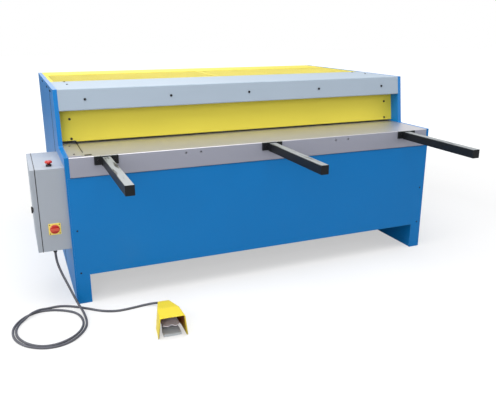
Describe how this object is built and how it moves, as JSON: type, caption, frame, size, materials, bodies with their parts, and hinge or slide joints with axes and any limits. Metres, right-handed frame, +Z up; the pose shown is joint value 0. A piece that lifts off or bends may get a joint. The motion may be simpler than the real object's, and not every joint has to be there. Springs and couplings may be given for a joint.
{
  "type": "electric sheet-metal shearing machine",
  "caption": "Motor-driven guillotine shear for sheet metal with a work table, support arms, finger guard, mesh guards, a side cabinet and a foot switch on a cable.",
  "frame": {"origin": "on the floor under the middle of the whole machine's box, measured without the loose cable", "axes": "+X along the table towards the right side as the operator sees it, +Y from the operator towards the rear, +Z up"},
  "size_m": [2.746, 2.38, 1.18],
  "materials": {
    "frame_paint": "semi-gloss blue enamel on steel",
    "side_paint": "semi-gloss blue enamel on steel",
    "table_steel": "planed and ground steel, grey apron",
    "tool_steel": "ground tool steel",
    "dark_steel": "blued steel",
    "arm_black": "black paint, worn bright on top",
    "guard_yellow": "semi-gloss yellow enamel",
    "cover_grey": "semi-gloss blue-grey enamel",
    "cabinet_grey": "fine-textured light grey powder coat",
    "zinc_steel": "zinc-plated steel",
    "latch_black": "black moulded plastic",
    "switch_yellow": "yellow moulded plastic",
    "switch_red": "red moulded plastic",
    "collar_black": "black nylon",
    "cable_grey": "matt dark grey PVC sheath",
    "pedal_yellow": "yellow moulded plastic",
    "pedal_grey": "light grey enamel on cast metal",
    "treadle_steel": "satin pressed steel"
  },
  "bodies": {
    "frame": {"left_side_plate": "frame_paint", "right_side_plate": "frame_paint", "left_leg_box": "frame_paint", "right_leg_box": "frame_paint", "front_panel": "frame_paint", "table_bed": "frame_paint", "rear_crossbeam": "frame_paint", "chute_plate": "frame_paint", "blade_beam": "frame_paint", "hold_down_beam": "frame_paint", "left_side_cover": "side_paint", "right_side_cover": "side_paint", "work_table": "table_steel", "side_gauge": "table_steel", "lower_blade": "tool_steel", "upper_blade": "tool_steel", "gauge_clamp": "dark_steel", "hold_down_feet": "dark_steel", "back_gauge": "dark_steel", "support_arm_left": "arm_black", "support_arm_middle": "arm_black", "support_arm_right": "arm_black", "finger_guard": "guard_yellow", "top_guard": "guard_yellow", "rear_cover": "guard_yellow", "rear_guard": "guard_yellow", "beam_cover": "cover_grey", "cabinet_box": "cabinet_grey", "cabinet_hinges": "zinc_steel", "mounting_plate": "zinc_steel", "pedal_pin": "zinc_steel", "switch_plate": "switch_yellow", "stop_base": "collar_black", "cable_gland": "collar_black", "pedal_gland": "collar_black", "cable_drop": "cable_grey", "cable_coil": "cable_grey", "cable_lead": "cable_grey", "pedal_hood": "pedal_yellow", "pedal_base": "pedal_grey"},
    "door": {"cabinet_door": "cabinet_grey"},
    "latch": {"door_latch": "latch_black"},
    "switch": {"switch_knob": "switch_red"},
    "stop": {"stop_button": "switch_red"},
    "treadle": {"pedal_treadle": "treadle_steel"}
  },
  "joints": [
    {"name": "door_swing", "type": "hinge", "parent": "frame", "child": "door", "pos_m": [-1.2585, -0.0637, 0.5685], "axis": [0, 0, -1], "range_deg": [0, 110]},
    {"name": "latch_turn", "type": "hinge", "parent": "door", "child": "latch", "pos_m": [-1.282, -0.488, 0.575], "axis": [-1, 0, 0], "range_deg": [0, 90]},
    {"name": "switch_turn", "type": "hinge", "parent": "frame", "child": "switch", "pos_m": [-1.186, -0.524, 0.463], "axis": [0, -1, 0], "range_deg": [0, 90]},
    {"name": "stop_press", "type": "slide", "parent": "frame", "child": "stop", "axis": [0, 0, -1], "range_m": [0, 0.004], "stiffness_N_per_m": 1500, "springref_m": -0.003},
    {"name": "treadle_press", "type": "hinge", "parent": "frame", "child": "treadle", "pos_m": [-0.6833, -0.91844, 0.042], "axis": [0.9976, -0.0698, 0], "range_deg": [0, 8], "stiffness_Nm_per_rad": 6, "springref_deg": -11.46}
  ]
}
